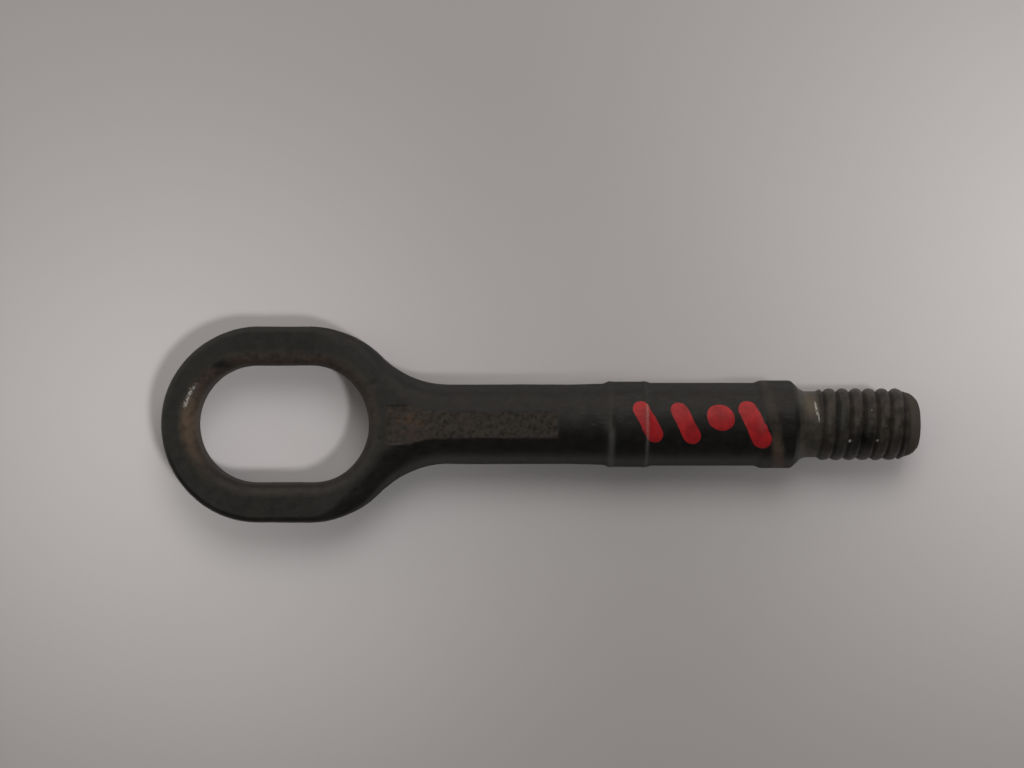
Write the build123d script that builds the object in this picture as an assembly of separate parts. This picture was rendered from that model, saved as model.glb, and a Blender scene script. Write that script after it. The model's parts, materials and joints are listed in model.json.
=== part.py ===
from build123d import *
import math
import os

# Screw-in tow eye: one steel forging with a slot-shaped eye, a round shank with two
# guide lands and a seat cone, and a coarse left-hand thread. Millimetres. The thread
# axis runs along +X, the eye is at the -X end and lies level, and the shank rests on
# the XY plane.

# Driving dimensions
overall_length = 187.5

# Eye, seen from above: a band round a slot-shaped hole, narrower at the far end
eye_width = 48.5
eye_thickness = 12.0
side_band = 9.6
end_band = 8.3
hole_length = 43.1
eye_edge_bevel = 1.4
hole_edge_radius = 3.2

# Root, where the flat eye grows into the round shank
blend_radius = 24.0
flare_length = 25.0
round_length_share = 0.1
flat_share = 0.03
root_stations = 11

# Shank, drawn down slightly towards the eye
root_diameter = 19.9
shank_diameter = 20.3
taper_length = 9.0
waist_diameter = 20.7
waist_length = 28.7

# Guide lands, the first with raised lips, and the seat cone that ends the second
first_land_diameter = 21.3
first_land_length = 8.9
lip_height = 0.15
lip_width = 1.0
second_land_diameter = 21.9
second_land_length = 7.6
land_ramp = 1.4
cone_length = 2.8

# Threaded end: a bare neck, then a rolled thread with a tapered run-out and tip
threaded_end_length = 28.5
neck_length = 3.5
neck_diameter = 16.5
thread_diameter = 18.0
thread_pitch = 3.3
depth_share = 0.32
crest_share = 0.42
foot_share = 0.74
sunk_share = 0.33
spare_turns = 1.2
run_out_length = 3.0
tip_length = 4.4
tip_diameter = 12.4

# Flat panel on the top of the shank, next to the eye
panel_length = 43.2
panel_width = 10.5
panel_depth = 0.55
panel_gap = 3.9
panel_corner_radius = 2.0

# Limits for telling the hole's rims from other edges
rim_distance = 0.01
level_slope = 0.7

# Sizes and places worked out from them, along the axis from the far end of the eye
eye_radius = eye_width / 2
hole_width = eye_width - 2 * side_band
hole_radius = hole_width / 2
hole_start_centre = end_band + hole_radius
hole_end = end_band + hole_length
root_start = hole_end - hole_radius
root_radius = root_diameter / 2
blend_reach = eye_radius + blend_radius
root_end = root_start + math.sqrt(blend_reach**2 - (root_radius + blend_radius) ** 2)
root_length = root_end - root_start
blend_start = root_start + root_length * eye_radius / blend_reach
cone_end = overall_length - threaded_end_length
second_land_end = cone_end - cone_length
second_land_start = second_land_end - second_land_length
first_land_end = second_land_start - waist_length
first_land_start = first_land_end - first_land_length
thread_start = cone_end + neck_length
thread_depth = depth_share * thread_pitch
core_radius = thread_diameter / 2 - thread_depth
axis_height = second_land_diameter / 2


def ease(x, start, end):
    """Smooth step, from 0 at start to 1 at end."""
    t = min(max((x - start) / (end - start), 0.0), 1.0)
    return t * t * (3 - 2 * t)


def half_width(x):
    """Plan outline of the root: the round of the eye, then a hollow blend to the shank."""
    if x < blend_start:
        return math.sqrt(eye_radius**2 - (x - root_start) ** 2)
    hollow = math.sqrt(blend_radius**2 - (root_end - x) ** 2)
    return root_radius + blend_radius - hollow


def half_thickness(x):
    """Side outline of the root: the flat faces of the eye, flared out to the shank."""
    flared = ease(x, root_start, root_start + flare_length)
    return eye_thickness / 2 + (root_radius - eye_thickness / 2) * flared


def root_section(x):
    """Section across the axis: a bevelled bar at the eye, nearly an oval at the shank."""
    w = half_width(x)
    t = half_thickness(x)
    rounded = ease(x, root_start, root_end - round_length_share * root_length)
    full = 1 - flat_share
    ry = eye_edge_bevel + (full * w - eye_edge_bevel) * rounded
    rz = eye_edge_bevel + (full * t - eye_edge_bevel) * rounded
    cy = w - ry
    cz = t - rz
    centres = [(cy, cz), (-cy, cz), (-cy, -cz), (cy, -cz)]
    corners = []
    for i, centre in enumerate(centres):
        arc = EllipticalCenterArc(centre, ry, rz, start_angle=90 * i, arc_size=90)
        corners.append(arc if rounded > 0 else Line(arc @ 0, arc @ 1))
    flats = [Line(corners[i] @ 1, corners[(i + 1) % 4] @ 0) for i in range(4)]
    return Plane.YZ.offset(x) * make_face(corners + flats)


def shank_section():
    """Circle where the shank starts, split into arcs like the sections before it."""
    half_flat = math.degrees(flat_share)
    arcs = []
    for i in range(4):
        quarter = 90 * i
        arcs.append(CenterArc((0, 0), root_radius, quarter + half_flat, 90 - 2 * half_flat))
        arcs.append(CenterArc((0, 0), root_radius, quarter + 90 - half_flat, 2 * half_flat))
    return Plane.YZ.offset(root_end) * make_face(arcs)


def on_hole_rim(edge):
    """True for the edges where the hole leaves the two faces of the eye."""
    middle = edge @ 0.5
    centre_x = min(max(middle.X, hole_start_centre), root_start)
    from_centre = math.hypot(middle.X - centre_x, middle.Y)
    level = abs((edge % 0.5).Z) < level_slope
    return level and abs(from_centre - hole_radius) < rim_distance


def make_head():
    """Eye and root: a turned far end, straight sides, a lofted root, then the soft hole."""
    bar = root_section(root_start)
    sides = extrude(bar, root_start - eye_radius, dir=(-1, 0, 0))
    one_side = Pos(root_start, eye_radius, 0) * Box(eye_radius, eye_width, eye_width)
    half_bar = Pos(eye_radius - root_start, 0, 0) * (bar & one_side)
    far_end = revolve(half_bar, Axis((eye_radius, 0, 0), (0, 0, 1)), 180)
    spacing = root_length / (root_stations - 1)
    sections = [root_section(root_start + i * spacing) for i in range(root_stations - 1)]
    root = loft(sections + [shank_section()])
    slot = extrude(SlotOverall(hole_length, hole_width), eye_width, both=True)
    head = far_end + sides + root - Pos(end_band + hole_length / 2, 0, 0) * slot
    return fillet([e for e in head.edges() if on_hole_rim(e)], hole_edge_radius)


def make_shank():
    """Turned length: drawn-down shank, two guide lands with a waist between, cone, neck."""
    first_land_radius = first_land_diameter / 2
    second_land_radius = second_land_diameter / 2
    waist_radius = waist_diameter / 2
    neck_radius = neck_diameter / 2
    outline = [
        (root_end, 0),
        (root_end, root_radius),
        (first_land_start - land_ramp - taper_length, root_radius),
        (first_land_start - land_ramp, shank_diameter / 2),
        (first_land_start, first_land_radius + lip_height),
        (first_land_start + lip_width, first_land_radius),
        (first_land_end - lip_width, first_land_radius),
        (first_land_end, first_land_radius + lip_height),
        (first_land_end + land_ramp, waist_radius),
        (second_land_start - land_ramp, waist_radius),
        (second_land_start, second_land_radius),
        (second_land_end, second_land_radius),
        (cone_end, neck_radius),
        (thread_start, neck_radius),
        (thread_start, 0),
    ]
    profile = make_face(Polyline(*outline, close=True))
    return revolve(profile, Axis.X)


def make_thread_ridge():
    """Left-hand ridge with a flat crest, longer than the thread at both ends."""
    spare = spare_turns * thread_pitch
    start = thread_start - spare
    length = overall_length + spare - start
    along = (1, 0, 0)
    path = Helix(thread_pitch, length, core_radius, (start, 0, 0), along, lefthand=True)
    foot = path @ 0
    outward = Vector(0, foot.Y, foot.Z)
    across = Plane(foot, x_dir=along, z_dir=Vector(along).cross(outward))
    sunk = sunk_share * thread_depth
    half_crest = crest_share * thread_pitch / 2
    half_foot = foot_share * thread_pitch / 2
    half_base = half_foot + (half_foot - half_crest) * sunk / thread_depth
    outline = [
        (-half_base, -sunk),
        (-half_crest, thread_depth),
        (half_crest, thread_depth),
        (half_base, -sunk),
    ]
    profile = make_face(Polyline(*outline, close=True))
    return sweep(across * profile, path=path, is_frenet=True)


def make_thread():
    """Threaded end: core and ridge, trimmed by the run-out at the neck and by the tip."""
    core_start = thread_start - 2 * thread_pitch
    core_end = overall_length + 2 * thread_pitch
    core = extrude(Plane.YZ.offset(core_start) * Circle(core_radius), core_end - core_start)
    clear_radius = thread_diameter / 2 + thread_depth
    tip_radius = tip_diameter / 2
    tip_slope = (thread_diameter / 2 - tip_radius) / tip_length
    outline = [
        (thread_start, 0),
        (thread_start, neck_diameter / 2),
        (thread_start + run_out_length, clear_radius),
        (overall_length - (clear_radius - tip_radius) / tip_slope, clear_radius),
        (overall_length, tip_radius),
        (overall_length, 0),
    ]
    envelope = revolve(make_face(Polyline(*outline, close=True)), Axis.X)
    return (core + make_thread_ridge()) & envelope


def make_panel_cutter():
    """What the flat panel takes off the top of the shank and the root."""
    outline = RectangleRounded(panel_length, panel_width, panel_corner_radius)
    middle = hole_end + panel_gap + panel_length / 2
    return Pos(middle, 0, root_radius - panel_depth) * extrude(outline, root_radius)


os.makedirs("parts", exist_ok=True)
tow_eye = make_head() + make_shank() + make_thread() - make_panel_cutter()
tow_eye = Pos(-overall_length / 2, 0, axis_height) * tow_eye
export_step(tow_eye, "parts/tow_eye.step")
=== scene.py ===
import json
import math

import bmesh
import bpy
import numpy as np
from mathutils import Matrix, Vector, noise


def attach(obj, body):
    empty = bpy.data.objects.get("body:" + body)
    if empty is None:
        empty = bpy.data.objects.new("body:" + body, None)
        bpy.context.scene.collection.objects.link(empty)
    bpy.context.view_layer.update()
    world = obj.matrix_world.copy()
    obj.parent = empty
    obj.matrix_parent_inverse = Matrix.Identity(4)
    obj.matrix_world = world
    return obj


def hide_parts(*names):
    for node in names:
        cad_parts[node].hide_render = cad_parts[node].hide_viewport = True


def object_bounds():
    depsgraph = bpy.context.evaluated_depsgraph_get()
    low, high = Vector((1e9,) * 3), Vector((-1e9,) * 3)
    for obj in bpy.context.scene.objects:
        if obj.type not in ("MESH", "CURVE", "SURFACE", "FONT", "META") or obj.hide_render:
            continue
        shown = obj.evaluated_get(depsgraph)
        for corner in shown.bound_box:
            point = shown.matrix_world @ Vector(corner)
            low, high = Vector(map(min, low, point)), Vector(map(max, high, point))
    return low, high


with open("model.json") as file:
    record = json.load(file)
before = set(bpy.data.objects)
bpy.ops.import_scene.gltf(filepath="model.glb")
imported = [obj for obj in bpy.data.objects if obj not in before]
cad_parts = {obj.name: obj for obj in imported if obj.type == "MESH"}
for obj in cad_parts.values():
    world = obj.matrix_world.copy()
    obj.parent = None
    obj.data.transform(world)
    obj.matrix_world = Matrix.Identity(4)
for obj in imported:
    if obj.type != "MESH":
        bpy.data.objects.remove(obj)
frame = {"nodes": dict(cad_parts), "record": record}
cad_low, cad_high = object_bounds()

# A screw-in tow eye as it looks lying on a table: a forged eye and shank in worn black paint,
# plain red brush marks, and a bare, oily thread. One mesh stands for the CAD node. It keeps the
# node's form and adds soft edges, rounded thread crests and the unevenness of a forging.
# Lengths are millimetres until a mesh is made, and metres for the floor and the lamps. u runs along
# the axis from the far end of the eye, y runs across it and h up from it.

MM = 0.001
NODE = "tow_eye"
BODY = "root"

# Sizes and places read from the frame
mounts = {mount["name"]: mount for mount in frame["record"]["mounts"]}
LENGTH = (cad_high.x - cad_low.x) / MM
EYE_RADIUS = (cad_high.y - cad_low.y) / MM / 2
AXIS_HEIGHT = mounts["guide_land"]["pos_m"][2] / MM
THREAD_START = (mounts["thread"]["pos_m"][0] - cad_low.x) / MM
THREAD_RADIUS = mounts["thread"]["dims"]["r_mm"]

# Eye
EYE_THICKNESS = 12.0
EDGE_RADIUS = 1.6
HOLE_START = 8.3
HOLE_LENGTH = 43.1
HOLE_RADIUS = 14.65
RIM_RADIUS = 3.2
HOLE_FAR_CENTRE = HOLE_START + HOLE_RADIUS
ROOT_START = HOLE_START + HOLE_LENGTH - HOLE_RADIUS

# Root, where the eye grows into the shank
ROOT_RADIUS = 9.95
BLEND_RADIUS = 24.0
FLARE_LENGTH = 25.0
ROUND_SHARE = 0.9
BLEND_REACH = EYE_RADIUS + BLEND_RADIUS
ROOT_LENGTH = math.sqrt(BLEND_REACH**2 - (ROOT_RADIUS + BLEND_RADIUS) ** 2)
ROOT_END = ROOT_START + ROOT_LENGTH
BLEND_START = ROOT_START + ROOT_LENGTH * EYE_RADIUS / BLEND_REACH

# Flat panel on the top of the shank
PANEL_START = 55.3
PANEL_END = 98.5
PANEL_HALF_WIDTH = 5.25
PANEL_FLOOR = ROOT_RADIUS - 0.55
PANEL_RAMP = 0.6
PANEL_CLEARANCE = 1.5
PANEL_TOLERANCE = 0.02
PANEL_START_FADE = 1.5
PANEL_END_FADE = 0.8

# Worn edges of the first land, and where the seat cone ends
FIRST_EDGE = 111.0
LIP = 119.9
CONE_END = 159.0

# Thread, and the tip that trims it: distance before the end and radius
PITCH = 3.3
THREAD_DEPTH = 0.32 * PITCH
CREST_FULLNESS = 2.6
GROOVE_SOFTNESS = 0.06
RUN_OUT = 1.4
TIP_PROFILE = [(4.8, 9.0), (3.1, 8.15), (1.5, 7.7), (0.6, 7.05), (0.0, 6.2)]
TIP_SOFTNESS = 0.3
TIP_RINGS = 6

# Mesh density
TURN_STEPS = 128
FAN_STEPS = TURN_STEPS // 2
FAN_FADE = 30
BLEND_STEPS = 64
SIDE_STEPS = 26
FAR_END_STEPS = 120
RIM_STEPS = 8
BAND_STEPS = 38
WALL_STEPS = 8
INNER_STEPS = 6
FINE_STEP = 0.2
PANEL_STEP = 0.25
PLAIN_STEP = 0.6
THREAD_STEP = 0.17
CORNER_REACH = 1.1
CORNER_TOLERANCE = 0.1
CORNER_SOFTNESS = 0.35
CORNER_SAMPLES = 9
NECK_SOFTNESS = 0.7
NECK_REACH = 3.0
CREST_TOLERANCE = 0.01
THREAD_SAMPLES = 5
MERGE_DISTANCE = 0.002

# Unevenness of the forging: size of the waves and how far they move the surface
WAVE_SIZE = 13.0
WAVE_HEIGHT = 0.10
GRAIN_SIZE = 2.6
GRAIN_HEIGHT = 0.022
PANEL_LUMP_SIZE = 1.5
PANEL_LUMP_HEIGHT = 0.16
THREAD_WAVE_SIZE = 3.4
THREAD_WAVE_HEIGHT = 0.07
THREAD_NICK_SIZE = 1.1
THREAD_NICK_HEIGHT = 0.035
THREAD_SINK = 0.3
THREAD_FADE = 2.0
FORGED_END = 104.0
FORGED_FADE = 5.0

# Dents: place in plan on the upper side, radius and depth
DENTS = [(53.1, 10.1, 1.3, 0.16), (54.3, -3.6, 1.2, 0.12), (48.5, -16.3, 0.9, 0.16)]

# Rust: a pair is where a fade starts and where it is full, a spot is its place in plan and reach
RIM_FADE = (1.45 * RIM_RADIUS, 0.45 * RIM_RADIUS)
RIM_RUST_LEVEL = 0.3
BACK_RUST_LEVEL = 0.6
BACK_RUST_FADE = (-4.0, 4.0)
FAR_RUST_LEVEL = 0.4
FAR_RUST_FADE = (18.0, 9.0)
FAR_RUST_MIDDLE = -2.0
FAR_RUST_HALF_WIDTH = 14.0
CLEAN_SPOT = ((14.6, 15.2), (5.0, 3.0))
ORANGE_SPOT = ((61.5, 0.2), (5.0, 4.0))
ORANGE_LEVEL = 0.25
ORANGE_FADE = (68.0, 62.0)

# Slanting band of rust on the second land
LAND_RUST_START = 148.9
LAND_RUST_SLANT = 0.15
LAND_RUST_WIDTH = 3.9
LAND_RUST_TAPER = 0.04
LAND_RUST_START_FADE = 1.4
LAND_RUST_END_FADE = 1.2
LAND_RUST_LEAST = 0.35
LAND_RUST_FRONT = 0.6
LAND_RUST_FRONT_FADE = (1.0, -7.0)
LAND_RUST_DEPTH = 0.8

# Worn edges: place, half width and share of the paint that is gone, most of it in front
WORN_EDGES = [(FIRST_EDGE + 0.2, 1.3, 0.75), (LIP, 0.7, 0.9)]
WEAR_LEAST = 0.12
WEAR_FRONT_FADE = (2.0, -3.0)
MARK_WEAR_HALF_WIDTH = 0.45

# Painted highlights: a bright glint painted on the eye's far end by the hole, and a bright glint painted
# slanting across the neck
RIM_GLINT_LEVEL = 0.69
RIM_GLINT_FROM_HOLE = 2.7
RIM_GLINT_HALF_WIDTH = 1.9
RIM_GLINT_END = 14.0
RIM_GLINT_FADES = ((2.0, 5.0), (13.0, 9.0))
NECK_GLINT_LEVEL = 0.87
NECK_GLINT_PLACE = (THREAD_START - 0.8, 3.5)
NECK_GLINT_SLANT = 0.16
NECK_GLINT_HALF_WIDTH = 0.9
NECK_GLINT_FADE = (-1.5, 2.0)
NECK_GLINT_HEIGHT_FADE = (3.0, 7.0)

# Painted sheen: grey painted over the back half of the turned length, lighter where that side catches
# the light; and sides that are too steep to shine
BACK_SHEEN_LEVEL = 0.4
BACK_SHEEN_FADES = ((98.0, 104.0), (158.0, 155.0))
BACK_SHEEN_FADE = (-2.0, 4.0)
STEEP_FADE = (0.75, 0.15)

# Bare neck and thread
BARE_FADE = (156.8, 157.5)
NECK_FADE = (163.2, 162.2)
# Colour darker towards the bottoms of the thread's grooves
GROOVE_DARK_FADE = (0.25, 1.25)
# Lighter tip: partly dust, partly a painted reflection of the lit table to the right
TIP_DUST_AND_SHEEN_FADE = (LENGTH - 3.6, LENGTH - 2.2)
OIL_SPOT = ((173.5, -3.5), (5.5, 5.0))
# Lighter beige patch on the top of the neck
NECK_PATCH_SPOT = ((160.2, 5.2), (2.6, 5.0))
GREEN_SPOT = ((167.1, 2.0), (2.6, 9.0))

# Painted highlights: small bright glints painted on the thread; and grey scuffs: place in plan and reach
THREAD_GLINT_LEVEL = 0.92
SCUFF_LEVEL = 0.7
THREAD_GLINTS = [((169.8, -3.9), 1.1), ((176.6, -3.9), 0.9), ((175.0, 3.7), 0.6)]
SCUFFS = [
    ((153.8, -1.2), (3.6, 2.2)),
    ((107.5, 0.6), (4.5, 2.4)),
    ((114.5, 1.2), (3.0, 2.2)),
    ((137.5, -5.5), (1.6, 2.4)),
]

# Red brush marks on the top of the shank, slashes and a dot: start and end (u, y), half width
BRUSH_MARKS = [
    ((118.4, 4.0), (121.6, -2.2), 2.3),
    ((127.6, 3.6), (130.8, -2.6), 2.3),
    ((137.6, 2.1), (138.0, 1.8), 3.4),
    ((144.4, 3.8), (147.9, -3.6), 2.5),
]
MARK_THICKNESS = 0.09
MARK_SINK = 0.07
MARK_WOBBLE = 0.22
MARK_WOBBLE_LENGTH = 2.4
MARK_STEPS = (48, 18)
MARK_SEED_STEP = 9.1

# Colours: a pair is the darkest and the lightest tone
PAINT = ((0.0038, 0.0036, 0.0033), (0.0095, 0.0088, 0.0077))
PAINT_BROWN = (0.0115, 0.0088, 0.0070)
PAINT_DUST = (0.020, 0.018, 0.016)
RUST = ((0.027, 0.0200, 0.0165), (0.050, 0.0370, 0.0290))
DEEP_RUST = (0.084, 0.058, 0.038)
# Grey of the scuffs and of the painted sheen on the back
SCUFF_AND_SHEEN_GREY = (0.034, 0.033, 0.031)
PANEL_RUST = ((0.0100, 0.0081, 0.0069), (0.0270, 0.0213, 0.0171))
PANEL_ORANGE = (0.048, 0.0285, 0.0170)
THREAD_STEEL = ((0.015, 0.0126, 0.0108), (0.044, 0.0362, 0.0298))
THREAD_GREEN = (0.021, 0.0215, 0.0180)
THREAD_GROOVE_DARK = (0.0070, 0.0060, 0.0052)
THREAD_OIL = (0.0045, 0.0042, 0.0045)
NECK_STEEL = ((0.034, 0.0305, 0.0245), (0.054, 0.0475, 0.0375))
NECK_LIGHT_PATCH = (0.082, 0.070, 0.048)
# Tip colour: partly dust, partly painted reflection
TIP_DUST_AND_SHEEN = (0.052, 0.0425, 0.0345)
WORN_STEEL = (0.070, 0.066, 0.061)
# Painted highlight: colour of the bright glints
GLINT_COLOUR = (0.40, 0.38, 0.355)
RED_PAINT = ((0.22, 0.0075, 0.0105), (0.35, 0.0125, 0.0155))
RED_SPECK = (0.11, 0.006, 0.008)
RED_WORN = (0.30, 0.16, 0.14)
TABLE = ((0.480, 0.456, 0.457), (0.500, 0.475, 0.476))

# Size of the features in the finish
BLOTCH_SIZE = 9.0
MOTTLE_SIZE = 2.2
SPECK_SIZE = 0.9
FINE_SIZE = 0.35
SCRATCH_SIZE = 0.45
SCRATCH_STRETCH = (0.22, 1.0, 1.0)
RED_BLOTCH_SIZE = 3.0
RED_SPECK_SIZE = 0.7
TABLE_BLOTCH_SIZE = 60.0

# Roughness of each finish, and how the steel shines
PAINT_ROUGHNESS = (0.28, 0.40)
STEEP_ROUGHNESS = 0.7
RUST_ROUGHNESS = 0.65
PANEL_ROUGHNESS = 0.5
BARE_ROUGHNESS = 0.45
GROOVE_DARK_ROUGHNESS = 0.85
OIL_ROUGHNESS = 0.2
GLINT_ROUGHNESS = 0.4
RED_ROUGHNESS = (0.3, 0.45)
TABLE_ROUGHNESS = 0.55
BARE_METALLIC = 0.2
STEEL_SPECULAR = 0.46

# Fine relief of the finish
STEEL_BUMP = 0.25
STEEL_BUMP_LEAST = 0.06
STEEL_BUMP_ROUGH = 0.45
FINE_SHARE = 0.4
RED_BUMP = 0.2
RED_BUMP_STRENGTH = 0.25

# Photograph's camera: square to the table
PHOTO_WIDTH = 1024
FOCAL_PIXELS = 1680
SENSOR_WIDTH = 36.0
CAMERA_PLACE = (-6.95, 10.05, 430.95)
CLIP_START = 0.01

# Table top
FLOOR_RADIUS = 6.0
FLOOR_STEPS = 96

# Sky: a bright back, a bright side by the eye, and a dark front
SKY_SIDE = (-0.97, 0.24, 0.02)
SKY_SIDE_EDGE = (-0.10, 0.12)
SKY_SIDE_COLOUR = (0.520, 0.520, 0.476)
SKY_FRONT_EDGE = (-0.36, -0.08)
SKY_BACK_EDGE = (0.38, 0.62)
SKY_BACK_COLOUR = (0.67, 0.610, 0.566)
SKY_DARK = (0.062, 0.060, 0.060)

# Soft lamps: where each points, which way it lies from there, how far, its radius, its cone in
# degrees and its level
LAMPS = {
    "room_lamp": ((0.0, 0.0, 0.0), (0.06, 0.52, 0.95), 0.7, 0.19, 160.0, 0.30),
    "right_lamp": ((0.160, 0.035, 0.0), (0.40, -0.08, 0.90), 0.9, 0.08, 13.6, 0.84),
    "eye_lamp": ((-0.095, -0.004, 0.0), (0.41, -0.22, 1.0), 0.9, 0.07, 10.4, 0.68),
}


def ease(t):
    """Smooth step from 0 to 1."""
    t = np.clip(t, 0, 1)
    return t * t * (3 - 2 * t)


def fade(value, edges):
    """Smooth step from 0, where the value is at the first edge, to 1 at the second."""
    start, full = edges
    return ease((value - start) / (full - start))


def band(value, centre, half_length):
    """1 where the value is at the centre, fading to 0 at half_length from it."""
    return ease(1 - np.abs(value - centre) / half_length)


def to_row(u, y, h):
    """Points of the row frame, in metres, from places along, across and above the axis."""
    return np.stack([u * MM + cad_low.x, y * MM, (h + AXIS_HEIGHT) * MM], axis=-1)


def from_row(points):
    """Places along, across and above the axis, in millimetres, of points of the row frame."""
    u = (points[:, 0] - cad_low.x) / MM
    return u, points[:, 1] / MM, points[:, 2] / MM - AXIS_HEIGHT


def mesh_points(mesh):
    """Vertices of a mesh as an array."""
    points = np.empty(len(mesh.vertices) * 3, np.float32)
    mesh.vertices.foreach_get("co", points)
    return points.reshape(-1, 3).astype(float)


# What the CAD node's own vertices say of the turned length and the thread
cad_u, cad_y, cad_h = from_row(mesh_points(frame["nodes"][NODE].data))
cad_radius = np.hypot(cad_y, cad_h)


def turned_corners():
    """Corners of the turned length, read from the lower side, which has no panel."""
    turned = (cad_h < 0) & (cad_u > ROOT_END - CORNER_TOLERANCE)
    turned &= cad_u < THREAD_START - CORNER_TOLERANCE
    places = np.unique(np.round(cad_u[turned], 1))
    radii = []
    for place in places:
        near = np.abs(cad_u - place) < CORNER_TOLERANCE
        radii.append(cad_radius[turned & near].max())
    return np.append(places, THREAD_START + PITCH), np.append(radii, radii[-1])


def crest_phase():
    """Where the thread's crest lies, as a share of the pitch."""
    crest = (cad_radius > THREAD_RADIUS - CREST_TOLERANCE) & (cad_u > THREAD_START)
    turn = np.arctan2(cad_h[crest], cad_y[crest]) / (2 * np.pi)
    return np.angle(np.exp(2j * np.pi * (cad_u[crest] / PITCH + turn)).sum()) / (2 * np.pi)


corner_u, corner_radius = turned_corners()
CREST_PHASE = crest_phase()
NECK_RADIUS = corner_radius[-1]


def turned_radius(u):
    """Radius of the turned length, with softened corners."""
    softness = CORNER_SOFTNESS + NECK_SOFTNESS * band(u, CONE_END, NECK_REACH)
    shifts = np.linspace(-1, 1, CORNER_SAMPLES)
    samples = [np.interp(u + shift * softness, corner_u, corner_radius) for shift in shifts]
    return np.mean(samples, axis=0)


def thread_radius(u, turn):
    """Radius of the left-hand thread, with round crests, a run-out and a tapered tip."""
    ridge = 0
    shifts = np.linspace(-GROOVE_SOFTNESS, GROOVE_SOFTNESS, THREAD_SAMPLES)
    for shift in shifts:
        from_crest = np.abs((u / PITCH + turn - CREST_PHASE + shift + 0.5) % 1 - 0.5)
        ridge = ridge + (1 - (2 * from_crest) ** CREST_FULLNESS) / len(shifts)
    full = THREAD_RADIUS - THREAD_DEPTH * (1 - ridge)
    grown = NECK_RADIUS + (full - NECK_RADIUS) * ease((u - THREAD_START) / RUN_OUT)
    tip_u = [LENGTH - before for before, _ in TIP_PROFILE]
    tip_radius = [radius for _, radius in TIP_PROFILE]
    shifts = np.linspace(-TIP_SOFTNESS, TIP_SOFTNESS, THREAD_SAMPLES)
    tip = np.mean([np.interp(u + shift, tip_u, tip_radius) for shift in shifts], axis=0)
    return np.minimum(grown, tip)


def panel_clip(u, y, h):
    """Height with the flat panel taken off the top."""
    along = ease((u - PANEL_START) / PANEL_RAMP) * ease((PANEL_END - u) / PANEL_RAMP)
    inside = along * ease((PANEL_HALF_WIDTH - np.abs(y)) / PANEL_RAMP)
    return np.minimum(h, PANEL_FLOOR + PANEL_CLEARANCE * (1 - inside))


def root_half_width(u):
    """Plan outline of the root: the round of the eye, then a hollow blend to the shank."""
    eye = np.sqrt(np.clip(EYE_RADIUS**2 - (u - ROOT_START) ** 2, 0, None))
    hollow = np.sqrt(np.clip(BLEND_RADIUS**2 - (ROOT_END - u) ** 2, 0, None))
    return np.where(u < BLEND_START, eye, ROOT_RADIUS + BLEND_RADIUS - hollow)


def root_height(u, y):
    """Half height of the root, whose section turns from a soft-edged bar into a circle."""
    flared = ease((u - ROOT_START) / FLARE_LENGTH)
    rounded = ease((u - ROOT_START) / (ROUND_SHARE * ROOT_LENGTH))
    width = root_half_width(u)
    height = EYE_THICKNESS / 2 + (ROOT_RADIUS - EYE_THICKNESS / 2) * flared
    corner_y = EDGE_RADIUS + (width - EDGE_RADIUS) * rounded
    corner_h = EDGE_RADIUS + (height - EDGE_RADIUS) * rounded
    across = np.clip((np.abs(y) - (width - corner_y)) / corner_y, 0, 1)
    return height - corner_h + corner_h * np.sqrt(1 - across**2)


def eye_height(from_edge):
    """Half height of the eye's band at a distance from its outer edge."""
    inset = np.clip(EDGE_RADIUS - from_edge, 0, EDGE_RADIUS)
    return EYE_THICKNESS / 2 - EDGE_RADIUS + np.sqrt(EDGE_RADIUS**2 - inset**2)


def eye_rays():
    """Lines in plan that leave the hole square to its edge: (centre u, end u, end y) all round.

    The first FAN_STEPS + 1 lines end on the ring where the turned shank starts.
    """
    fan_y = -ROOT_RADIUS * np.cos(np.linspace(0, np.pi, FAN_STEPS + 1))
    fan = [(ROOT_START, ROOT_END, y) for y in fan_y]
    blend_u = np.linspace(ROOT_END, ROOT_START, BLEND_STEPS + 1)[1:]
    blend = [(ROOT_START, u, y) for u, y in zip(blend_u, root_half_width(blend_u))]
    side = []
    for u in np.linspace(ROOT_START, HOLE_FAR_CENTRE, SIDE_STEPS + 1)[1:]:
        side.append((u, u, math.sqrt(EYE_RADIUS**2 - min(u - EYE_RADIUS, 0) ** 2)))
    start = math.acos((HOLE_FAR_CENTRE - EYE_RADIUS) / EYE_RADIUS)
    far_end = []
    for angle in np.linspace(start, 2 * np.pi - start, FAR_END_STEPS + 1)[1:-1]:
        end_u = EYE_RADIUS * (1 + math.cos(angle))
        far_end.append((HOLE_FAR_CENTRE, end_u, EYE_RADIUS * math.sin(angle)))
    other_half = [(centre, u, -y) for centre, u, y in reversed(blend + side)]
    return np.array(fan + blend + side + far_end + other_half)


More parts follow.
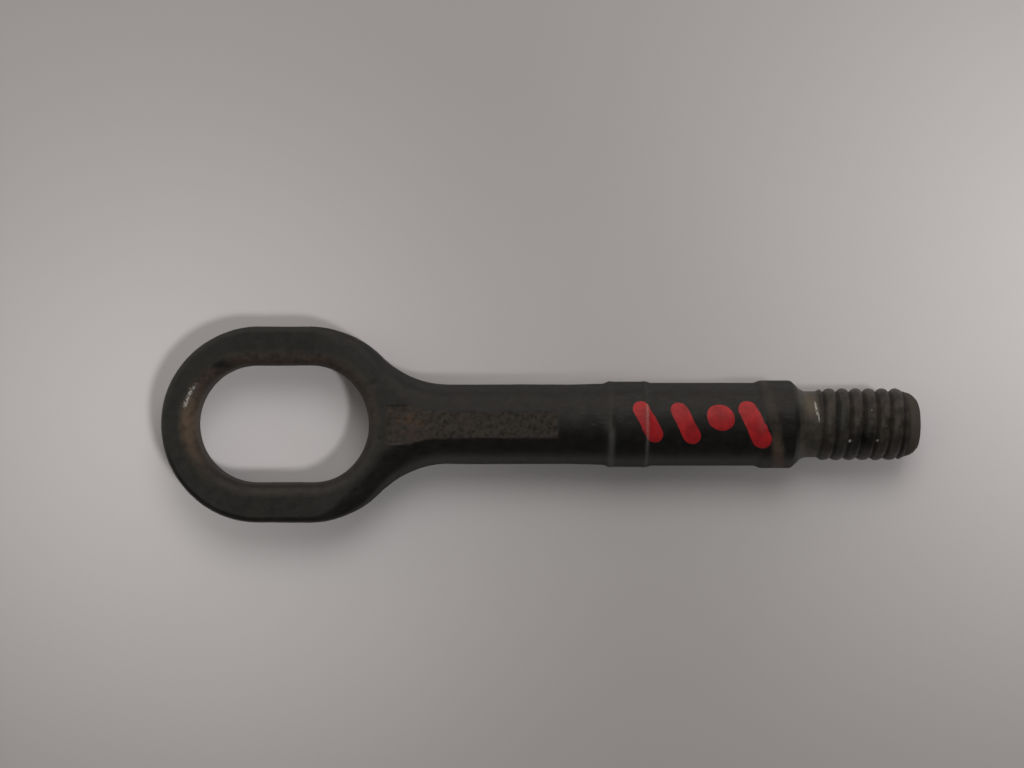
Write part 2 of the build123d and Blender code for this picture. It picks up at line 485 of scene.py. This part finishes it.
def head_grid():
    """Eye and root: points[line, place round the section], and which quads the shank leaves out."""
    centre, end_u, end_y = (column[:, None] for column in eye_rays().T)
    reach = np.hypot(end_u - centre, end_y)
    width = reach - HOLE_RADIUS
    rim = RIM_RADIUS * (1 - np.cos(np.linspace(0, np.pi / 2, RIM_STEPS + 1)))
    share = np.linspace(0, 1, BAND_STEPS + 1)[1:]
    line = np.arange(len(reach))[:, None]
    from_fan = np.maximum(np.minimum(line - FAN_STEPS, len(reach) - line), 0)
    even = ease(1 - from_fan / FAN_FADE)
    outward = even * share + (1 - even) * np.sin(share * np.pi / 2)
    from_hole = np.hstack(
        [np.broadcast_to(rim, (len(width), len(rim))), RIM_RADIUS + (width - RIM_RADIUS) * outward]
    )
    u = centre + (end_u - centre) / reach * (HOLE_RADIUS + from_hole)
    y = end_y / reach * (HOLE_RADIUS + from_hole)
    height = np.where(u > ROOT_START, root_height(u, y), eye_height(width - from_hole))
    inset = np.clip(RIM_RADIUS - from_hole, 0, RIM_RADIUS)
    height = height - RIM_RADIUS + np.sqrt(RIM_RADIUS**2 - inset**2)
    outer = np.linspace(1, -1, WALL_STEPS + 1)[1:-1] * height[:, -1:]
    inner = np.linspace(-1, 1, INNER_STEPS + 1)[1:-1] * height[:, :1]
    count = height.shape[1]
    place = np.r_[
        np.arange(count), np.full(WALL_STEPS - 1, count - 1),
        np.arange(count)[::-1], np.zeros(INNER_STEPS - 1, int),
    ]
    heights = np.hstack([panel_clip(u, y, height), outer, -height[:, ::-1], inner])
    points = to_row(u[:, place], y[:, place], heights)
    open_end = np.zeros(points.shape[:2], bool)
    open_end[:FAN_STEPS, count - 1:count - 1 + WALL_STEPS] = True
    return points, open_end


def turned_stations():
    """Places of the rings along the turned length, closer together where the form is fine."""
    fine = np.append(corner_u, PANEL_END)
    stations = [ROOT_END]
    while stations[-1] < THREAD_START:
        near_corner = np.abs(fine - stations[-1]).min() < CORNER_REACH
        plain = PANEL_STEP if stations[-1] < PANEL_END else PLAIN_STEP
        stations.append(stations[-1] + (FINE_STEP if near_corner else plain))
    stations[-1] = THREAD_START
    count = round((LENGTH - THREAD_START) / THREAD_STEP)
    return np.append(stations, np.linspace(THREAD_START, LENGTH, count + 1)[1:])


def turned_grid():
    """Shank, neck and thread: points[ring, place round the ring], closed by a flat tip."""
    u = turned_stations()[:, None]
    turn = np.arange(TURN_STEPS)[None, :] / TURN_STEPS
    radius = np.where(u < THREAD_START, turned_radius(u), thread_radius(u, turn))
    tip = radius[-1:] * np.linspace(1, 0, TIP_RINGS + 1)[1:, None]
    radius = np.vstack([radius, tip])
    u = np.vstack([u, np.full((len(tip), 1), LENGTH)])
    y = radius * np.cos(2 * np.pi * turn)
    h = panel_clip(u, y, radius * np.sin(2 * np.pi * turn))
    return to_row(np.broadcast_to(u, y.shape), y, h)


def grid_quads(rows, columns, closed_rows, first):
    """Quads of a grid of points whose columns run round and close."""
    row = np.arange(rows if closed_rows else rows - 1)[:, None]
    column = np.arange(columns)[None, :]
    after = (row + 1) % rows
    beside = (column + 1) % columns
    corners = [row * columns + column, row * columns + beside]
    corners += [after * columns + beside, after * columns + column]
    return first + np.stack(corners, axis=-1)


def new_object(name, points, faces, material):
    """A smooth, closed mesh object, with doubled points merged and loose ones removed."""
    mesh = bpy.data.meshes.new(name)
    mesh.from_pydata(points.tolist(), [], faces.tolist())
    build = bmesh.new()
    build.from_mesh(mesh)
    bmesh.ops.remove_doubles(build, verts=build.verts, dist=MERGE_DISTANCE * MM)
    loose = [vertex for vertex in build.verts if not vertex.link_faces]
    bmesh.ops.delete(build, geom=loose, context="VERTS")
    bmesh.ops.recalc_face_normals(build, faces=build.faces)
    build.to_mesh(mesh)
    build.free()
    mesh.shade_smooth()
    mesh.materials.append(material)
    made = bpy.data.objects.new(name, mesh)
    bpy.context.scene.collection.objects.link(made)
    return made


def waves(points, size, seed=0):
    """Smooth noise from -1 to 1 at each point, with waves about that many millimetres long."""
    scaled = (points + seed) / (size * MM)
    return np.array([noise.noise(Vector(point)) for point in scaled])


def panel_mask(u, y, h):
    """1 on the floor of the panel, 0 elsewhere, on a surface that isn't roughened yet."""
    level = np.abs(h - PANEL_FLOOR) < PANEL_TOLERANCE
    flat = level * ease((PANEL_HALF_WIDTH - np.abs(y)) / PANEL_RAMP)
    along = ease((u - PANEL_START) / PANEL_START_FADE) * ease((PANEL_END - u) / PANEL_END_FADE)
    return flat * along


def roughen(mesh, panel):
    """Moves the surface in and out as forging and knocks have left it."""
    points = mesh_points(mesh)
    normals = np.array([normal.vector for normal in mesh.vertex_normals])
    u, y, h = from_row(points)
    forged = 1 - ease((u - FORGED_END) / FORGED_FADE)
    shift = forged * WAVE_HEIGHT * waves(points, WAVE_SIZE)
    shift += forged * GRAIN_HEIGHT * waves(points, GRAIN_SIZE, 1)
    shift += panel * PANEL_LUMP_HEIGHT * waves(points, PANEL_LUMP_SIZE, 2)
    threaded = ease((u - THREAD_START) / THREAD_FADE)
    shift += threaded * THREAD_WAVE_HEIGHT * (waves(points, THREAD_WAVE_SIZE, 3) - THREAD_SINK)
    shift += threaded * THREAD_NICK_HEIGHT * (waves(points, THREAD_NICK_SIZE, 4) - THREAD_SINK)
    for dent_u, dent_y, radius, depth in DENTS:
        near = 1 - np.hypot(u - dent_u, y - dent_y) / radius
        shift -= depth * ease(near) * (h > 0)
    points += normals * (shift * MM)[:, None]
    mesh.vertices.foreach_set("co", points.astype(np.float32).ravel())
    mesh.update()


def write_masks(mesh, masks):
    """Keeps masks with the mesh, as one value for each point."""
    for name, values in masks.items():
        attribute = mesh.attributes.new(name, "FLOAT", "POINT")
        attribute.data.foreach_set("value", np.asarray(values, np.float32))


def spot(u, y, centre, reach):
    """1 at a place in plan, fading to 0 at the given reach along and across."""
    return ease(1 - np.hypot((u - centre[0]) / reach[0], (y - centre[1]) / reach[1]))


def land_rust(u, y):
    """The slanting band of rust on the second land, strongest in front."""
    start = LAND_RUST_START - LAND_RUST_SLANT * y
    end = start + LAND_RUST_WIDTH - LAND_RUST_TAPER * y
    rust = ease((u - start) / LAND_RUST_START_FADE) * ease((end - u) / LAND_RUST_END_FADE)
    return rust * (LAND_RUST_LEAST + LAND_RUST_FRONT * fade(y, LAND_RUST_FRONT_FADE))


def glint_places(u, y, h, from_hole):
    """Painted highlights: where bright glints are painted on the steel."""
    top = h > 0
    rim_glint = RIM_GLINT_LEVEL * band(from_hole, RIM_GLINT_FROM_HOLE, RIM_GLINT_HALF_WIDTH) * (u < RIM_GLINT_END) * top
    for edges in RIM_GLINT_FADES:
        rim_glint *= fade(y, edges)
    neck_glint_u, neck_glint_y = NECK_GLINT_PLACE
    neck_glint = NECK_GLINT_LEVEL * band(u + NECK_GLINT_SLANT * (y - neck_glint_y), neck_glint_u, NECK_GLINT_HALF_WIDTH)
    bright = rim_glint + neck_glint * fade(y, NECK_GLINT_FADE) * fade(h, NECK_GLINT_HEIGHT_FADE)
    for place, reach in THREAD_GLINTS:
        bright += THREAD_GLINT_LEVEL * spot(u, y, place, (reach, reach)) * top
    return bright


def paint_masks(mesh, panel):
    """Where the forging is rusty, worn, scuffed, bare, oily or in the panel; where glints, sheen on the
    back and a reflection on the tip are painted; darker groove bottoms and a lighter patch on the neck.
    """
    u, y, h = from_row(mesh_points(mesh))
    upright = np.array([normal.vector.z for normal in mesh.vertex_normals])
    top = h > 0
    radius = np.hypot(y, h)
    centre_u = np.clip(u, HOLE_FAR_CENTRE, ROOT_START)
    from_hole = np.hypot(u - centre_u, y) - HOLE_RADIUS
    rim = fade(from_hole, RIM_FADE) * (u < PANEL_START)
    far_end = fade(u, FAR_RUST_FADE) * band(y, FAR_RUST_MIDDLE, FAR_RUST_HALF_WIDTH)
    clean = spot(u, y, *CLEAN_SPOT) * top
    rim_rust = RIM_RUST_LEVEL + BACK_RUST_LEVEL * fade(y, BACK_RUST_FADE) + FAR_RUST_LEVEL * far_end
    land_band = land_rust(u, y)
    in_front = WEAR_LEAST + (1 - WEAR_LEAST) * fade(y, WEAR_FRONT_FADE)
    wear = sum(share * band(u, place, half_width) for place, half_width, share in WORN_EDGES)
    scuffs = sum(spot(u, y, place, reach) for place, reach in SCUFFS) * top
    # Painted sheen: the back half of the turned length painted lighter grey
    back_sheen = BACK_SHEEN_LEVEL * fade(y, BACK_SHEEN_FADE)
    for edges in BACK_SHEEN_FADES:
        back_sheen *= fade(u, edges)
    bare = fade(u, BARE_FADE)
    write_masks(mesh, {
        "rust": rim * (1 - clean) * rim_rust + land_band,
        "rim": rim,
        "deep_rust": far_end + LAND_RUST_DEPTH * land_band,
        "steep": fade(upright, STEEP_FADE),
        "wear": in_front * wear,
        # Painted highlights: glints on the eye's far end, the neck and the thread
        "painted_glints": glint_places(u, y, h, from_hole),
        "scuff_and_sheen": SCUFF_LEVEL * scuffs + back_sheen,
        "neck": bare * fade(u, NECK_FADE),
        "bare": bare,
        "groove_dark": fade((THREAD_RADIUS - radius) / THREAD_DEPTH, GROOVE_DARK_FADE) * (u > THREAD_START),
        "oil": spot(u, y, *OIL_SPOT) * top,
        "neck_patch": spot(u, y, *NECK_PATCH_SPOT) * top,
        "green": spot(u, y, *GREEN_SPOT) * top,
        "tip": fade(u, TIP_DUST_AND_SHEEN_FADE),
        "panel": panel,
        "orange": spot(u, y, *ORANGE_SPOT) + ORANGE_LEVEL * fade(u, ORANGE_FADE),
    })


def add(tree, kind, inputs=None, **settings):
    """A node with its settings, and its inputs set to values or joined to other nodes' outputs."""
    node = tree.nodes.new(kind)
    for name, value in settings.items():
        setattr(node, name, value)
    for key, value in (inputs or {}).items():
        if isinstance(value, bpy.types.NodeSocket):
            tree.links.new(value, node.inputs[key])
        else:
            node.inputs[key].default_value = value
    return node


def mask(tree, name):
    """Value of a mask that the mesh holds."""
    return add(tree, "ShaderNodeAttribute", attribute_name=name).outputs["Fac"]


def speckle(tree, place, size, detail=4.0, roughness=0.6):
    """Noise with features about that many millimetres across."""
    inputs = {"Vector": place, "Scale": 1 / (size * MM), "Detail": detail, "Roughness": roughness}
    return add(tree, "ShaderNodeTexNoise", inputs).outputs["Fac"]


def remap(tree, value, low, high, to_low=0.0, to_high=1.0):
    """Smooth change from to_low to to_high as the value goes from low to high."""
    inputs = {"Value": value, 1: low, 2: high, 3: to_low, 4: to_high}
    kind = "ShaderNodeMapRange"
    return add(tree, kind, inputs, interpolation_type="SMOOTHSTEP").outputs["Result"]


def combine(tree, operation, first, second):
    """Result of an operation on two values, held between 0 and 1."""
    inputs = {0: first, 1: second}
    return add(tree, "ShaderNodeMath", inputs, operation=operation, use_clamp=True).outputs[0]


def blend_colour(tree, factor, first, second):
    """Mix of two colours."""
    colours = [c if isinstance(c, bpy.types.NodeSocket) else (*c, 1) for c in (first, second)]
    inputs = {0: factor, 6: colours[0], 7: colours[1]}
    return add(tree, "ShaderNodeMix", inputs, data_type="RGBA").outputs[2]


def blend_value(tree, factor, first, second):
    """Mix of two values."""
    return add(tree, "ShaderNodeMix", {0: factor, 2: first, 3: second}).outputs[0]


def add_bump(tree, shader, height, strength, distance):
    """Fine relief on a shader, up to that many millimetres high."""
    inputs = {"Strength": strength, "Distance": distance * MM, "Height": height}
    bump = add(tree, "ShaderNodeBump", inputs)
    tree.links.new(bump.outputs["Normal"], shader.inputs["Normal"])


def new_material(name):
    """A material with one shader: its tree, the shader and the place on the object."""
    material = bpy.data.materials.new(name)
    material.use_nodes = True
    tree = material.node_tree
    shader = tree.nodes["Principled BSDF"]
    place = add(tree, "ShaderNodeTexCoord").outputs["Object"]
    return material, tree, shader, place


def masked(tree, name, factor):
    """A mask broken up by a factor from 0 to 1."""
    return combine(tree, "MULTIPLY", mask(tree, name), factor)


def paint_colour(tree, mottle, blotch, grain, fine, scratch, rust):
    """Black paint with brown blotches and dust, rust, grey scuffs and grey painted sheen on the back of
    the turned length.
    """
    colour = blend_colour(tree, remap(tree, mottle, 0.3, 0.7), *PAINT)
    colour = blend_colour(tree, remap(tree, blotch, 0.5, 0.75, 0.0, 0.6), colour, PAINT_BROWN)
    colour = blend_colour(tree, remap(tree, fine, 0.6, 0.75, 0.0, 0.2), colour, PAINT_DUST)
    rusty = blend_colour(tree, remap(tree, grain, 0.3, 0.7), *RUST)
    rusty = blend_colour(tree, mask(tree, "deep_rust"), rusty, DEEP_RUST)
    colour = blend_colour(tree, rust, colour, rusty)
    scuff_and_sheen = masked(tree, "scuff_and_sheen", remap(tree, scratch, 0.52, 0.72, 0.0, 0.8))
    return blend_colour(tree, scuff_and_sheen, colour, SCUFF_AND_SHEEN_GREY)


def panel_colour(tree, mottle, grain):
    """Pitted, rusty floor of the panel."""
    floor = blend_colour(tree, remap(tree, grain, 0.36, 0.54), *PANEL_RUST)
    orange = masked(tree, "orange", remap(tree, mottle, 0.4, 0.65))
    return blend_colour(tree, orange, floor, PANEL_ORANGE)


def thread_colour(tree, mottle, blotch, groove_dark, oil):
    """Bare neck, thread and tip: darker towards the groove bottoms, with oil, a lighter patch on the
    neck, and a tip painted lighter, partly dust and partly painted reflection.
    """
    tone = remap(tree, mottle, 0.35, 0.65)
    thread = blend_colour(tree, tone, *THREAD_STEEL)
    green = combine(tree, "ADD", remap(tree, blotch, 0.5, 0.65, 0.0, 0.6), mask(tree, "green"))
    thread = blend_colour(tree, green, thread, THREAD_GREEN)
    # Darker towards the groove bottoms
    thread = blend_colour(tree, groove_dark, thread, THREAD_GROOVE_DARK)
    thread = blend_colour(tree, oil, thread, THREAD_OIL)
    neck = blend_colour(tree, tone, *NECK_STEEL)
    # Lighter beige patch on the top of the neck
    neck = blend_colour(tree, mask(tree, "neck_patch"), neck, NECK_LIGHT_PATCH)
    thread = blend_colour(tree, mask(tree, "neck"), thread, neck)
    # Lighter tip, partly dust and partly painted reflection
    return blend_colour(tree, mask(tree, "tip"), thread, TIP_DUST_AND_SHEEN)


def steel_material():
    """Worn black paint with rust, the rough panel, worn edges and the bare oily thread."""
    material, tree, shader, place = new_material("worn_black_paint")
    blotch = speckle(tree, place, BLOTCH_SIZE)
    mottle = speckle(tree, place, MOTTLE_SIZE, detail=5.0)
    grain = speckle(tree, place, SPECK_SIZE, detail=5.0)
    fine = speckle(tree, place, FINE_SIZE, detail=3.0)
    lines = add(tree, "ShaderNodeMapping", {"Vector": place, "Scale": SCRATCH_STRETCH}).outputs[0]
    scratch = speckle(tree, lines, SCRATCH_SIZE, detail=2.0)
    bare = mask(tree, "bare")
    panel = mask(tree, "panel")
    groove_dark = mask(tree, "groove_dark")
    rust = masked(tree, "rust", remap(tree, mottle, 0.25, 0.6, 0.45, 1.0))
    worn = masked(tree, "wear", remap(tree, grain, 0.25, 0.55, 0.7, 1.0))
    oil = masked(tree, "oil", remap(tree, mottle, 0.3, 0.5))
    # Painted highlights: bright glints painted as light colour
    painted_glints = add(tree, "ShaderNodeMath", {0: mask(tree, "painted_glints"), 1: fine}, operation="ADD").outputs[0]
    painted_glints = remap(tree, painted_glints, 1.0, 1.45)

    colour = paint_colour(tree, mottle, blotch, grain, fine, scratch, rust)
    colour = blend_colour(tree, panel, colour, panel_colour(tree, mottle, grain))
    colour = blend_colour(tree, bare, colour, thread_colour(tree, mottle, blotch, groove_dark, oil))
    colour = blend_colour(tree, worn, colour, WORN_STEEL)
    colour = blend_colour(tree, painted_glints, colour, GLINT_COLOUR)
    tree.links.new(colour, shader.inputs["Base Color"])

    roughness = remap(tree, grain, 0.25, 0.75, *PAINT_ROUGHNESS)
    finishes = [
        (mask(tree, "steep"), STEEP_ROUGHNESS),
        (rust, RUST_ROUGHNESS),
        (panel, PANEL_ROUGHNESS),
        (bare, BARE_ROUGHNESS),
        (groove_dark, GROOVE_DARK_ROUGHNESS),
        (oil, OIL_ROUGHNESS),
        (painted_glints, GLINT_ROUGHNESS),
    ]
    for finish, level in finishes:
        roughness = blend_value(tree, finish, roughness, level)
    tree.links.new(roughness, shader.inputs["Roughness"])
    tree.links.new(combine(tree, "MULTIPLY", bare, BARE_METALLIC), shader.inputs["Metallic"])
    shader.inputs["Specular IOR Level"].default_value = STEEL_SPECULAR

    height = blend_value(tree, FINE_SHARE, grain, fine)
    rough_places = combine(tree, "ADD", combine(tree, "ADD", panel, mask(tree, "rim")), bare)
    strength = combine(tree, "MULTIPLY", rough_places, STEEL_BUMP_ROUGH)
    strength = combine(tree, "ADD", strength, STEEL_BUMP_LEAST)
    add_bump(tree, shader, height, strength, STEEL_BUMP)
    return material


def marking_material():
    """Thin red brushed paint, uneven, and worn through where it crosses the land's lip."""
    material, tree, shader, place = new_material("red_marking_paint")
    blotch = speckle(tree, place, RED_BLOTCH_SIZE)
    grain = speckle(tree, place, RED_SPECK_SIZE, detail=5.0)
    colour = blend_colour(tree, remap(tree, blotch, 0.3, 0.7), *RED_PAINT)
    colour = blend_colour(tree, remap(tree, grain, 0.62, 0.75), colour, RED_SPECK)
    worn = masked(tree, "wear", remap(tree, grain, 0.3, 0.6, 0.2, 0.8))
    colour = blend_colour(tree, worn, colour, RED_WORN)
    tree.links.new(colour, shader.inputs["Base Color"])
    tree.links.new(remap(tree, grain, 0.3, 0.7, *RED_ROUGHNESS), shader.inputs["Roughness"])
    add_bump(tree, shader, grain, RED_BUMP_STRENGTH, RED_BUMP)
    return material


def wobble(travel, seed):
    """Uneven edge of a brush mark along its length."""
    steps = travel / MARK_WOBBLE_LENGTH
    return MARK_WOBBLE * np.array([noise.noise(Vector((t, seed * MARK_SEED_STEP, 0.5))) for t in steps])


def brush_mark(start, end, half_width, seed):
    """Closed film of paint along a line on the shank, domed across and round at its ends."""
    long_steps, cross_steps = MARK_STEPS
    reach = np.array(end) - np.array(start)
    length = np.linalg.norm(reach)
    ahead = reach / length
    side = np.array([-ahead[1], ahead[0]])
    swing = np.linspace(0, np.pi, long_steps + 1)
    travel = length / 2 - (length / 2 + half_width) * np.cos(swing)
    past = np.clip(np.maximum(-travel, travel - length), 0, half_width)
    fullness = np.sqrt(np.clip(1 - (past / half_width) ** 2, 0, 1))[:, None]
    across = np.sin(np.linspace(-np.pi / 2, np.pi / 2, cross_steps + 1))
    first_edge = wobble(travel, 2 * seed)[:, None]
    second_edge = wobble(travel, 2 * seed + 1)[:, None]
    uneven = np.where(across < 0, first_edge, second_edge)
    offset = across * fullness * (half_width + uneven)
    flat = np.array(start) + travel[:, None, None] * ahead + offset[..., None] * side
    dome = np.sqrt(np.clip(1 - across**2, 0, 1) * fullness)
    top = MARK_THICKNESS * dome - MARK_SINK * (1 - dome)
    sheets = []
    for lift in (top, np.full_like(top, -MARK_SINK)):
        radius = turned_radius(flat[..., 0]) + lift
        angle = flat[..., 1] / turned_radius(flat[..., 0])
        sheets.append(to_row(flat[..., 0], radius * np.sin(angle), radius * np.cos(angle)))
    upper, lower = sheets
    return np.concatenate([upper, lower[:, -2:0:-1]], axis=1)


def make_marks(material):
    """All brush marks as one piece."""
    points, faces, first = [], [], 0
    for seed, mark in enumerate(BRUSH_MARKS):
        grid = brush_mark(*mark, seed)
        points.append(grid.reshape(-1, 3))
        faces.append(grid_quads(*grid.shape[:2], False, first).reshape(-1, 4))
        first += len(points[-1])
    made = new_object("brush_marks", np.vstack(points), np.vstack(faces), material)
    u, _, _ = from_row(mesh_points(made.data))
    write_masks(made.data, {"wear": band(u, LIP, MARK_WEAR_HALF_WIDTH)})
    return made


def make_tow_eye(material):
    """The whole forging as one closed mesh."""
    head, open_end = head_grid()
    turned = turned_grid()
    head_points = head.reshape(-1, 3)
    head_faces = grid_quads(*head.shape[:2], True, 0)[~open_end]
    turned_faces = grid_quads(*turned.shape[:2], False, len(head_points)).reshape(-1, 4)
    points = np.vstack([head_points, turned.reshape(-1, 3)])
    made = new_object("tow_eye_forging", points, np.vstack([head_faces, turned_faces]), material)
    panel = panel_mask(*from_row(mesh_points(made.data)))
    roughen(made.data, panel)
    paint_masks(made.data, panel)
    return made


def floor_material():
    """Plain pale table top."""
    material, tree, shader, place = new_material("pale_table")
    shade = speckle(tree, place, TABLE_BLOTCH_SIZE, detail=2.0)
    colour = blend_colour(tree, shade, *TABLE)
    tree.links.new(colour, shader.inputs["Base Color"])
    shader.inputs["Roughness"].default_value = TABLE_ROUGHNESS
    return material


def make_floor():
    """A large level table top under the piece."""
    bpy.ops.mesh.primitive_circle_add(vertices=FLOOR_STEPS, radius=FLOOR_RADIUS, fill_type="NGON")
    floor = bpy.context.object
    floor.name = "floor"
    floor.data.materials.append(floor_material())


def make_lamps():
    """Lamps with soft-edged cones. They leave no highlights, so the sky alone is mirrored."""
    for name, (target, direction, distance, radius, cone, level) in LAMPS.items():
        data = bpy.data.lights.new(name, "SPOT")
        data.spot_size = math.radians(cone)
        data.spot_blend = 1.0
        data.shadow_soft_size = radius
        upward = Vector(direction).normalized()
        data.energy = level * 4 * math.pi**2 * distance**2 / upward.z
        lamp = bpy.data.objects.new(name, data)
        lamp.location = Vector(target) + upward * distance
        lamp.rotation_euler = upward.to_track_quat("Z", "Y").to_euler()
        lamp.visible_glossy = False
        bpy.context.scene.collection.objects.link(lamp)


def make_sky():
    """Soft light all round, bright behind the piece and on the eye's side, dark in front."""
    world = bpy.data.worlds.new("studio")
    world.use_nodes = True
    tree = world.node_tree
    direction = add(tree, "ShaderNodeTexCoord").outputs["Generated"]
    facing = add(tree, "ShaderNodeVectorMath", {0: direction, 1: SKY_SIDE}, operation="DOT_PRODUCT")
    depth = add(tree, "ShaderNodeSeparateXYZ", {"Vector": direction}).outputs["Y"]
    side = remap(tree, facing.outputs["Value"], *SKY_SIDE_EDGE)
    side = combine(tree, "MULTIPLY", side, remap(tree, depth, *SKY_FRONT_EDGE))
    colour = blend_colour(tree, side, SKY_DARK, SKY_SIDE_COLOUR)
    colour = blend_colour(tree, remap(tree, depth, *SKY_BACK_EDGE), colour, SKY_BACK_COLOUR)
    tree.links.new(colour, tree.nodes["Background"].inputs["Color"])
    bpy.context.scene.world = world


def make_camera():
    """The photograph's view, straight down."""
    data = bpy.data.cameras.new("camera")
    data.sensor_width = SENSOR_WIDTH
    data.lens = SENSOR_WIDTH * FOCAL_PIXELS / PHOTO_WIDTH
    data.clip_start = CLIP_START
    camera = bpy.data.objects.new("camera", data)
    camera.location = Vector(CAMERA_PLACE) * MM
    bpy.context.scene.collection.objects.link(camera)
    bpy.context.scene.camera = camera


forging = make_tow_eye(steel_material())
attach(forging, BODY)
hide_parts(NODE)
marks = make_marks(marking_material())
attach(marks, BODY)
make_floor()
make_sky()
make_lamps()
make_camera()
bpy.context.scene.view_settings.view_transform = "Standard"
